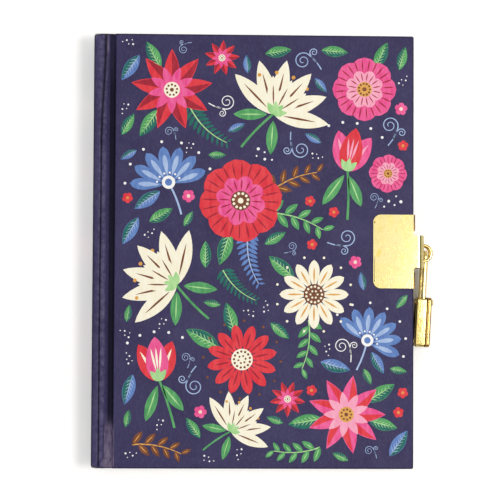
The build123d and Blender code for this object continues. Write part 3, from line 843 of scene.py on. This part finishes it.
def stem_tree():
    """Geometry Nodes: one shape set along a bent stem, leaning to one side and the other in turn."""
    tree, given = new_tree(
        "shapes_on_stem", Count="Int", Start="Vector", Middle="Vector", End="Vector", Left="Float", Right="Float",
        Taper="Float", Ink="Material")
    stem = geometry(tree, "CurveQuadraticBezier", Resolution=32, Start=given["Start"], Middle=given["Middle"],
                    End=given["End"])
    spots = add_node(tree, "GeometryNodeCurveToPoints", {"Curve": stem, "Count": given["Count"]}, mode="COUNT")
    along = add_node(tree, "ShaderNodeSeparateXYZ", {0: spots.outputs["Tangent"]}).outputs
    index = geometry(tree, "InputIndex")
    across = calculate(tree, "SUBTRACT", given["Right"], given["Left"])
    lean = calculate(
        tree, "ADD", multiply(tree, calculate(tree, "MODULO", index, 2.0), across), given["Left"])
    angle = calculate(tree, "ADD", calculate(tree, "ARCTAN2", along[1], along[0]), lean)
    lost = multiply(tree, calculate(tree, "DIVIDE", index, given["Count"]), given["Taper"])
    return set_shapes(tree, given, spots.outputs["Points"], angle, calculate(tree, "SUBTRACT", 1.0, lost))


RING = ring_tree()
STEM = stem_tree()


class Stamp:
    """Flat shapes of one motif, in millimetres round its own foot or middle."""

    def __init__(self, motif, inks):
        self.points, self.faces, self.inks = [], [], []
        motif(self, *inks.split())

    def join(self, points, faces, ink):
        self.faces += shifted(faces, len(self.points))
        self.points += points
        self.inks += [ink] * len(faces)

    def shape(self, loop, ink, layer):
        self.join(*prism(loop, layer), ink)

    def repeat(self, tree, loop, ink, layer, **values):
        seed = mesh_piece("printed_shape", *prism(loop, layer), INKS[ink])
        mesh = run_tree(seed, tree, Ink=INKS[ink], **values).data
        self.join([tuple(v.co / MM) for v in mesh.vertices], [tuple(f.vertices) for f in mesh.polygons], ink)
        bpy.data.objects.remove(seed)

    def ring(self, loop, ink, layer, count, radius=0.0, start=0.0, sweep=360.0):
        """Shapes all round, or over a sweep in degrees that has a shape at both its ends."""
        step = sweep / count if sweep == 360 else sweep / (count - 1)
        self.repeat(RING, loop, ink, layer, Count=count, Radius=radius * MM, Start=math.radians(start),
                    Step=math.radians(step))

    def splay(self, loop, ink, layer, count, sweep, radius=0.0):
        """Shapes over a sweep that lies evenly to both sides of the x axis."""
        self.ring(loop, ink, layer, count, radius, -sweep / 2, sweep)

    def stem(self, loop, ink, layer, count, line, left, right, taper=0.35):
        start, middle, end = [(x * MM, y * MM, 0.0) for x, y in line]
        self.repeat(STEM, loop, ink, layer, Count=count, Start=start, Middle=middle, End=end,
                    Left=math.radians(left), Right=math.radians(right), Taper=taper)


def daisy(stamp, outer, line, centre, dots):
    stamp.ring(petal(11.5, 4.6, 1.3, 0.6, 3), outer, 3, 12)
    stamp.ring(petal(7, 0.75, 1.2, 0.8, 4.4), line, 4, 12)
    stamp.shape(disc(4.4, count=28), centre, 5)
    stamp.ring(dot(0.5), dots, 6, 13, 3.3)
    stamp.ring(dot(0.42), dots, 6, 6, 1.5)
    stamp.ring(dot(0.55), dots, 3, 12, 15.9, 15)


def rosette(stamp, outer, line, inner, centre, dots):
    stamp.ring(petal(13.6, 11.4, 1.55, 0.5, 1.2, 18), outer, 3, 8)
    stamp.ring(petal(6, 0.6, 1, 0.9, 8), line, 4, 24, start=5)
    stamp.ring(petal(8, 5.6, 1.4, 0.55, 1), inner, 5, 8, start=22.5)
    stamp.ring(petal(4.2, 0.5, 1, 0.9, 3.6), line, 6, 16, start=11.25)
    stamp.shape(disc(3.5, count=26), centre, 7)
    stamp.ring(dot(0.5), dots, 8, 11, 2.6)
    stamp.shape(disc(1), dots, 8)


def star_flower(stamp, outer, shade, inner, centre, dots):
    stamp.ring(petal(15.5, 6, 0.85, 0.95, 1), outer, 3, 9)
    stamp.ring(half_petal(14.6, 5.6, skew=0.85, fat=0.95, start=1.2), shade, 4, 9)
    stamp.ring(petal(8.4, 3.4, 0.9, 0.9, 1.2), inner, 5, 9, start=20)
    stamp.shape(disc(3.2, count=24), centre, 6)
    stamp.ring(dot(0.45), dots, 7, 9, 2.1)
    stamp.shape(disc(0.8), dots, 7)


def tulip(stamp, outer, inner, line, dots):
    """A cup flower that opens along x, on a stalk with two long leaves."""
    stamp.shape(ribbon(bent((-20, -4.5), (-9, -3), (1, 0)), 1, 0.9), "green", 1)
    for turn, long in ((156, 15.5), (214, 14)):
        stamp.ring(petal(long, 4.6, 1.1, 0.75), "green", 1, 1, 2, turn)
        stamp.ring(petal(long * 0.8, 0.6, 1, 0.9, 1.2), "pale_green", 2, 1, 2, turn)
    stamp.splay(petal(17.5, 8.6, 0.85, 0.75), outer, 3, 2, 48)
    stamp.splay(petal(10, 1.2, 1, 0.9, 4.5), line, 4, 2, 54)
    stamp.shape(petal(18.5, 9.4, 0.8, 0.7), inner, 5)
    stamp.splay(petal(9.5, 0.9, 1, 0.9, 4.5), line, 6, 3, 18)
    stamp.splay(dot(0.6), dots, 3, 5, 68, 20.6)
    stamp.splay(petal(5.6, 2.6, 0.8, 0.8), "pale_green", 7, 3, 72)


def lily(stamp, outer, line, dots):
    """An open side flower with slender petals and threads."""
    stamp.shape(ribbon(bent((-17, 5), (-8, 3.5), (0.5, 0)), 0.9, 0.9), "green", 1)
    stamp.ring(petal(13, 4.4, 1, 0.8), "green", 1, 2, 2.5, 118, 86)
    stamp.ring(petal(9.5, 0.55, 1, 0.9, 1.4), "pale_green", 2, 2, 2.5, 118, 86)
    stamp.splay(petal(10.5, 0.45, 1, 0.9, 5), dots, 2, 5, 96)
    stamp.splay(dot(0.75), dots, 3, 5, 96, 16.2)
    stamp.splay(petal(21.5, 6.6, 0.95, 0.8), outer, 3, 6, 144)
    stamp.splay(petal(13, 0.8, 0.9, 0.9, 3.6), line, 4, 6, 144)
    stamp.splay(petal(15, 4.8, 0.9, 0.8), outer, 5, 3, 58)
    stamp.splay(petal(8, 0.6, 0.9, 0.9, 3.6), line, 6, 3, 58)
    stamp.splay(petal(5.2, 2.4, 0.8, 0.8), "pale_green", 7, 4, 108)


def fan(stamp, outer, inner, dots):
    stamp.shape(ribbon(bent((-13, -3), (-6, -2.5), (1, 0)), 0.8, 0.8), inner, 1)
    stamp.splay(petal(14, 4.9, 1.5, 0.55, 2.4), outer, 3, 7, 156)
    stamp.splay(petal(9, 2, 1.4, 0.6, 4), inner, 4, 7, 156)
    stamp.splay(dot(0.6), dots, 3, 7, 156, 18.4)
    stamp.splay(dot(0.45), dots, 5, 6, 130, 5.2)
    stamp.shape(disc(2.8, 1.2, 0, 22), dots, 5)
    stamp.shape(disc(1.5, 1.2, 0), outer, 6)


def leaf(stamp, main, shade, line):
    stamp.shape(petal(19, 7.8, 0.92, 0.85, 0, 18), main, 1)
    stamp.shape(half_petal(18.6, 7.4, skew=0.92, fat=0.85, start=0.2), shade, 2)
    stamp.shape(petal(16.5, 0.6, 0.8, 0.9, 0.4), line, 3)
    spine = ((3, 0), (8, 0), (14.5, 0))
    for lean in (42, -42):
        stamp.stem(petal(3.9, 0.45, 1, 0.9), line, 3, 6, spine, lean, lean, 0.5)


def spray(stamp, main, line):
    stem = ((0, 0), (12, 4.5), (25, 2))
    stamp.shape(ribbon(bent(*stem), 0.75, 0.4), line, 1)
    stamp.stem(petal(8.4, 3.5, 0.95, 0.85), main, 1, 9, stem, 48, -48)
    stamp.stem(petal(5.6, 0.5, 1, 0.9, 0.9), line, 2, 9, stem, 48, -48)


def fern(stamp, main, line):
    stem = ((0, 0), (12, -5), (24, -1))
    stamp.shape(ribbon(bent(*stem), 0.7, 0.35), line, 2)
    for lean in (58, -58):
        stamp.stem(petal(6.4, 2, 1, 0.8), main, 1, 11, stem, lean, lean, 0.6)


def berries(stamp, main, line, shine):
    stem = ((0, 0), (11, -4), (21, 1))
    stamp.shape(ribbon(bent(*stem), 0.65, 0.45), line, 1)
    stamp.stem(petal(4.4, 0.6, 0.7, 0.9), line, 1, 9, stem, 62, -62, 0.3)
    stamp.stem(disc(1.75, 5), main, 2, 9, stem, 62, -62, 0.3)
    stamp.stem(disc(0.45, 5.5, 0.5, 9), shine, 3, 9, stem, 62, -62, 0.3)


def dot_fan(stamp, ink):
    for radius, count in ((3, 3), (5.2, 5), (7.4, 7), (9.6, 8)):
        stamp.splay(dot(0.55), ink, 1, count, 92, radius)


def tendril(stamp, ink):
    stamp.shape(ribbon(curl(9, 4.2, 1.7), 0.55, 0.35), ink, 1)
    stamp.shape(ribbon([(x * 0.6 + 4, -y * 0.62 - 0.5) for x, y in curl(8, 3.4, 1.5)], 0.5, 0.3), ink, 1)


def blossom(stamp, outer, centre):
    stamp.ring(petal(4.6, 4.2, 1.5, 0.5, 0.4), outer, 3, 5)
    stamp.shape(disc(1.35), centre, 4)
    stamp.ring(disc(0.28, count=8), outer, 5, 5, 0.8)


def scatter(stamp, ink):
    for x, y, radius in ((0, 0, 0.8), (3.4, 1.4, 0.5), (6.2, -0.8, 0.7), (2.2, -3, 0.45), (8.8, 1.8, 0.5)):
        stamp.shape(disc(radius, x, y, 12), ink, 1)


STAMPS = {label: Stamp(motif, inks) for label, motif, inks in (
    ("star_red", star_flower, "red deep_red pink cream brown"),
    ("star_pink", star_flower, "pink red pale_pink ochre brown"),
    ("rosette_red", rosette, "red deep_red pink brown cream"),
    ("rosette_pink", rosette, "pink deep_red pale_pink ochre brown"),
    ("daisy_cream", daisy, "cream ochre brown cream"),
    ("daisy_red", daisy, "red deep_red cream brown"),
    ("tulip_red", tulip, "red pink cream white"),
    ("tulip_pink", tulip, "pink red pale_pink white"),
    ("lily", lily, "cream brown ochre"),
    ("fan_blue", fan, "blue pale_blue white"),
    ("leaf", leaf, "green deep_green pale_green"),
    ("leaf_dark", leaf, "deep_green green pale_green"),
    ("leaf_blue", leaf, "blue deep_green pale_blue"),
    ("spray", spray, "green pale_green"),
    ("spray_pale", spray, "pale_green green"),
    ("spray_brown", spray, "brown ochre"),
    ("fern", fern, "deep_green pale_green"),
    ("fern_blue", fern, "blue pale_blue"),
    ("berries", berries, "blue pale_blue white"),
    ("berries_red", berries, "red brown pale_pink"),
    ("dots", dot_fan, "white"),
    ("tendril", tendril, "pale_blue"),
    ("tendril_white", tendril, "white"),
    ("blossom_pink", blossom, "pink cream"),
    ("blossom_red", blossom, "red ochre"),
    ("blossom_white", blossom, "cream brown"),
    ("scatter", scatter, "white"),
)}


# Stamps that overlap are lifted apart by a trace, a few heights in turn; spots and tries serve the layout
STAMP_LIFT, LIFTED_IN_TURN = 0.0014, 8
SPOT_PITCH, TRIES = 0.7, 400


def laid(spots, x, y, turn, size):
    """Spots of a stamp moved to where it is laid, turned in degrees and sized."""
    c, s = math.cos(math.radians(turn)) * size, math.sin(math.radians(turn)) * size
    return [(x + u * c - v * s, y + u * s + v * c) for u, v, *height in spots]


def lay_print(name, plan, to_space):
    """Lay stamps down as one printed piece; each entry is a stamp, x, y, turn in degrees and size."""
    points, faces, inks = [], [], []
    palette = list(INKS)
    for order, (label, *where) in enumerate(plan):
        stamp = STAMPS[label]
        faces += shifted(stamp.faces, len(points))
        lift = STAMP_LIFT * (order % LIFTED_IN_TURN)
        points += [to_space(x, y, spot[2] + lift) for spot, (x, y) in zip(stamp.points, laid(stamp.points, *where))]
        inks += [palette.index(ink) for ink in stamp.inks]
    piece = mesh_piece(name, points, faces, INKS[palette[0]])
    for ink in palette[1:]:
        piece.data.materials.append(INKS[ink])
    piece.data.polygons.foreach_set("material_index", inks)
    return piece


def spread_over(stamp):
    """Points all over the upper faces of a stamp, less than a millimetre apart."""
    spots = set()
    for face in stamp.faces:
        loop = [stamp.points[i] for i in face]
        if min(h for u, v, h in loop) > 0:
            middle = [sum(p[k] for p in loop) / len(loop) for k in (0, 1)]
            for u, v, h in loop:
                count = int(math.hypot(u - middle[0], v - middle[1]) / SPOT_PITCH) + 1
                for i in range(1, count + 1):
                    spots.add(tuple(round(2 * (m + (p - m) * i / count)) / 2 for m, p in zip(middle, (u, v))))
    return list(spots)


SPREADS = {label: spread_over(stamp) for label, stamp in STAMPS.items()}


def covered(label, *where):
    """The cells of one millimetre that a laid stamp covers."""
    return {(round(x), round(y)) for x, y in laid(SPREADS[label], *where)}


def widened(cells):
    return {(x + i, y + j) for x, y in cells for i in (-1, 0, 1) for j in (-1, 0, 1)}


def lay_out(flowers, fillers, inside, seed):
    """Plan a print: flowers, then sprigs from under their rims, then small fill-ins, each where it has room."""
    chance = random.Random(seed)
    plan = [flower[:5] for flower in flowers]
    own = [widened(covered(*entry)) for entry in plan]
    taken = set()
    for (label, x, y, turn, size, reach, *sprigs), cells in zip(flowers, own):
        others = set().union(*(c for c in own if c is not cells))
        for sprig, angle, scale in sprigs:
            way = math.radians(angle)
            entry = (sprig, x + reach * math.cos(way), y + reach * math.sin(way), angle, scale)
            spread = covered(*entry)
            fresh = spread - cells
            if all(inside(*cell) for cell in spread) and not fresh & others and not fresh & taken:
                plan.append(entry)
                taken |= widened(fresh)
    taken = taken.union(*own)
    free = [(x, y) for x in range(-74, 75) for y in range(-100, 101) if inside(x, y)]
    for label, scale, wanted in fillers:
        free = [cell for cell in free if cell not in taken]
        for attempt in range(TRIES):
            entry = (label, *chance.choice(free), chance.randrange(0, 360, 5), scale)
            spread = covered(*entry)
            if wanted and not spread & taken and all(inside(*cell) for cell in spread):
                plan.append(entry)
                taken |= widened(spread)
                wanted -= 1
    return plan


def on_cover(x, y):
    """Where the cover may be printed: clear of the groove, the edges and the clasp plate."""
    return -61 <= x <= 71 and abs(y) <= 97 and not (x > 52 and abs(y) < 20)


def on_spine(z, y):
    return 3 <= z <= 18 and abs(y) <= 95


# A flower's stamp, x, y, turn, size and reach, then sprigs that start at its reach: stamp, angle and size
FRONT_FLOWERS = (
    ("star_red", -38, 74, 10, 1.15, 11, ("leaf", 205, 0.85), ("leaf", 162, 0.85), ("leaf_dark", 118, 0.75),
     ("spray", 266, 0.95), ("berries", 24, 1.0), ("fern", 318, 1.0), ("leaf", 72, 0.75), ("leaf_dark", 236, 0.8)),
    ("lily", 9, 63, 62, 1.2, 20, ("berries_red", 205, 0.8), ("leaf_blue", 30, 0.8)),
    ("rosette_pink", 51, 75, 0, 1.0, 11, ("leaf", 118, 0.8), ("leaf_dark", 168, 0.8), ("spray_pale", 232, 0.9),
     ("berries", 296, 0.85), ("leaf", 64, 0.7)),
    ("fan_blue", -39, 30, 100, 1.1, 5, ("leaf_blue", 215, 0.75), ("leaf", 330, 0.8)),
    ("rosette_red", -6, 23, 8, 1.3, 15, ("leaf", 130, 1.0), ("leaf_dark", 98, 0.9), ("spray", 338, 1.0),
     ("leaf", 206, 1.0), ("fern_blue", 284, 1.0), ("leaf", 252, 0.85), ("leaf_dark", 52, 0.9),
     ("spray_brown", 18, 0.9), ("leaf", 168, 0.8)),
    ("tulip_pink", 43, 37, 78, 1.1, 5),
    ("lily", -35, -16, 150, 1.2, 20, ("berries", 300, 0.8)),
    ("daisy_cream", 28, -20, 0, 1.1, 12, ("leaf_dark", 30, 0.9), ("leaf", 345, 0.85), ("berries", 196, 0.95),
     ("spray", 258, 0.9), ("leaf", 140, 0.8), ("leaf_dark", 84, 0.8), ("fern", 304, 0.9)),
    ("tulip_red", -43, -60, 96, 1.1, 5),
    ("daisy_red", -5, -50, 12, 1.12, 12, ("leaf", 152, 0.9), ("leaf_dark", 106, 0.8), ("spray_brown", 24, 0.9),
     ("fern", 228, 0.95), ("leaf", 286, 0.8), ("berries", 338, 0.85)),
    ("fan_blue", 52, -42, 58, 1.0, 5, ("leaf_blue", 300, 0.6)),
    ("star_pink", 43, -75, 0, 1.1, 11, ("leaf", 148, 0.9), ("leaf_dark", 190, 0.85), ("leaf", 32, 0.8),
     ("berries", 236, 0.85), ("spray_pale", 102, 0.85), ("leaf_dark", 66, 0.75), ("leaf", 345, 0.7)),
    ("lily", -10, -83, 50, 0.86, 16),
)
# A fill-in's stamp, size and how many are wanted
FRONT_FILLERS = (
    ("rosette_pink", 0.6, 2), ("fan_blue", 0.62, 2), ("star_red", 0.5, 2), ("daisy_cream", 0.55, 1),
    ("spray_brown", 0.9, 4), ("berries", 0.95, 4), ("spray", 0.85, 4), ("fern_blue", 0.85, 3),
    ("spray_pale", 0.8, 4), ("fern", 0.85, 3), ("leaf_blue", 0.75, 5), ("tendril", 0.95, 5),
    ("berries_red", 0.8, 4), ("tendril_white", 0.85, 5), ("leaf", 0.65, 6), ("leaf_dark", 0.6, 6),
    ("blossom_red", 1.0, 4), ("blossom_pink", 0.95, 5), ("blossom_white", 0.85, 5), ("dots", 0.85, 7),
    ("spray_pale", 0.5, 6), ("berries", 0.55, 6), ("leaf_blue", 0.45, 6), ("leaf", 0.42, 10),
    ("tendril", 0.5, 6), ("blossom_pink", 0.6, 8), ("blossom_red", 0.5, 8), ("scatter", 0.9, 12),
    ("scatter", 0.55, 20),
)
BACK_FLOWERS = (
    ("rosette_red", -8, 58, 0, 1.1, 13, ("leaf", 130, 0.9), ("leaf_dark", 60, 0.9), ("spray", 340, 1.0),
     ("leaf", 220, 0.9), ("berries", 285, 0.95)),
    ("lily", 26, 22, 70, 1.1, 20),
    ("daisy_cream", -28, -8, 0, 1.0, 11, ("leaf", 140, 0.85), ("leaf_dark", 30, 0.85), ("fern_blue", 262, 0.95)),
    ("star_pink", 24, -56, 10, 1.1, 11, ("leaf", 150, 0.9), ("leaf_dark", 40, 0.85), ("spray_pale", 255, 0.9)),
    ("fan_blue", -36, -62, 80, 1.0, 5),
)
SPARSE_FILLERS = (
    ("spray_brown", 0.8, 2), ("berries", 0.85, 2), ("tendril", 0.85, 3), ("leaf_blue", 0.65, 3),
    ("blossom_pink", 0.9, 4), ("blossom_white", 0.8, 4), ("dots", 0.8, 4), ("leaf", 0.5, 6), ("scatter", 0.8, 10),
)
SPINE_FILLERS = (
    ("rosette_pink", 0.42, 2), ("star_red", 0.4, 2), ("daisy_cream", 0.4, 2), ("leaf", 0.5, 8),
    ("blossom_pink", 0.85, 5), ("tendril", 0.6, 4), ("leaf_dark", 0.45, 6), ("scatter", 0.7, 8),
)
PRINT_SEED = 11
for name, body, flowers, fillers, inside, to_space in (
        ("front_cover_print", "front_cover", FRONT_FLOWERS, FRONT_FILLERS, on_cover,
         lambda x, y, h: (x, y, COVER_TOP + h)),
        ("back_cover_print", "book", BACK_FLOWERS, SPARSE_FILLERS, on_cover, lambda x, y, h: (x, y, -h)),
        ("spine_print", "book", (), SPINE_FILLERS, on_spine, lambda z, y, h: (SPINE_OUTER - h, y, z)),
):
    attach(lay_print(name, lay_out(flowers, fillers, inside, PRINT_SEED), to_space), body)


# Floor, light and camera, with their places and sizes in metres

FLOOR_HALF, FLOOR_DROP = 3, -0.0003


def floor_material():
    """White floor that keeps a soft shadow and reads as white to the camera, with painted shadow beside the clasp,
    where the camera glow fades out.
    """
    material, tree, shader = new_material(
        "studio_floor", Roughness=0.9, Specular_IOR_Level=0.1, Base_Color=(0.9, 0.89, 0.875, 1))
    to_camera = add_node(tree, "ShaderNodeLightPath").outputs["Is Camera Ray"]
    # Painted shadow: the camera glow fades out in a patch beside the clasp, so the floor in the gap under the padlock
    # reads darker
    beside = multiply(tree, near_line(tree, SIDEWAYS, 76.0, 5.0), near_line(tree, UPWARDS, -15.0, 10.0))
    seen = multiply(tree, to_camera, span(tree, beside, 0.0, 1.0, 0.25, 0.0))
    glow = node_out(tree, "ShaderNodeEmission", {"Color": (1, 1, 1, 1), "Strength": seen})
    both = node_out(tree, "ShaderNodeAddShader", {0: shader.outputs[0], 1: glow})
    tree.links.new(both, tree.nodes["Material Output"].inputs["Surface"])
    return material


floor_mesh = bpy.data.meshes.new("floor")
floor_mesh.from_pydata(
    [(FLOOR_HALF * x, FLOOR_HALF * y, 0) for x, y in ((-1, -1), (1, -1), (1, 1), (-1, 1))], [], [(0, 1, 2, 3)])
floor_mesh.materials.append(floor_material())
floor = add_object("floor", floor_mesh)
floor.location.z = FLOOR_DROP


def soft_lamp(name, location, size, power, colour=(1, 1, 1)):
    """A round lamp that points at the middle of the floor."""
    light = bpy.data.lights.new(name, "AREA")
    light.shape = "DISK"
    light.size = size
    light.energy = power
    light.color = colour
    lamp = add_object(name, light)
    lamp.location = location
    lamp.rotation_euler = (-Vector(location)).to_track_quat("-Z", "Y").to_euler()


soft_lamp("key_from_right", (0.40, -0.02, 1.02), 0.26, 4.6, (1.0, 0.98, 0.95))
soft_lamp("fill_overhead", (-0.1, 0.15, 1.5), 1.7, 7.0)

world = bpy.data.worlds.new("pale_room")
scene.world = world
world.use_nodes = True
room = world.node_tree
sky = room.nodes["Background"]
sky.inputs["Color"].default_value = (0.97, 0.98, 1.0, 1)
way = add_node(room, "ShaderNodeTexCoord").outputs["Generated"]
height = add_node(room, "ShaderNodeSeparateXYZ", {0: way}).outputs["Z"]
feed(room, sky, Strength=span(room, height, 0.2, 0.6, 0.95, 0.32))

lens = bpy.data.cameras.new("camera")
lens.lens = 100.0
lens.sensor_width = 36.0
camera = add_object("camera", lens)
camera.location = (-0.0178, -0.0206, 0.6592)
camera.rotation_euler = Euler([math.radians(turn) for turn in (1.867, -1.464, 0.292)], "XYZ")
scene.camera = camera
scene.view_settings.view_transform = "Standard"
